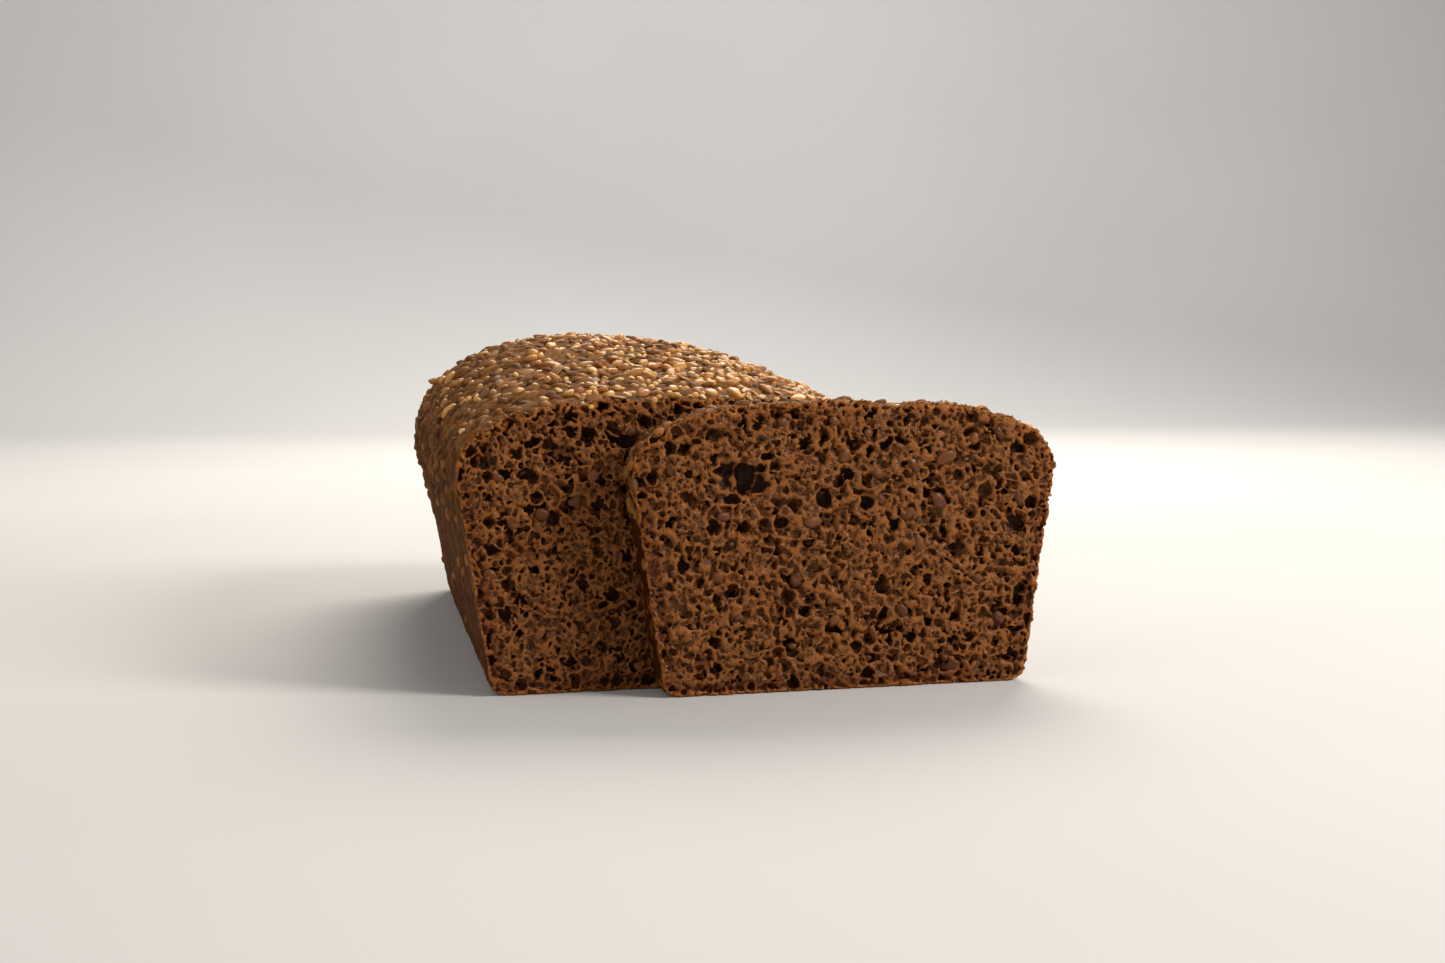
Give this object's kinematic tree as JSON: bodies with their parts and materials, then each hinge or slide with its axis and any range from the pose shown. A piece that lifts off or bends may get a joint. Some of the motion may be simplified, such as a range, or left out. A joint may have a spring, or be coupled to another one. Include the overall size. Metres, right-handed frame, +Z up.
{
  "type": "rye loaf",
  "caption": "Tin-baked dark rye loaf with a domed seeded crust, cut open at one end, and a thick slice standing in front of its cut face.",
  "frame": {"origin": "middle of the loaf's flat base, on the surface that it stands on", "axes": "+Z up; +Y along the loaf, from the cut face towards the baked end; +X to the right as one faces the cut"},
  "size_m": [0.1659, 0.2382, 0.092],
  "materials": {
    "rye_crust": "dull baked crust, brown with a floury bloom, red-brown at the cut rim",
    "rye_crumb": "moist dark crumb with open pores and a soft sheen",
    "seed_topping": "toasted seeds and cracked grain, cream to golden, satin",
    "soaked_grain": "whole soaked rye grains, smooth and moist"
  },
  "bodies": {
    "root": {"loaf": "rye_crust", "slice": "rye_crumb"}
  },
  "joints": []
}
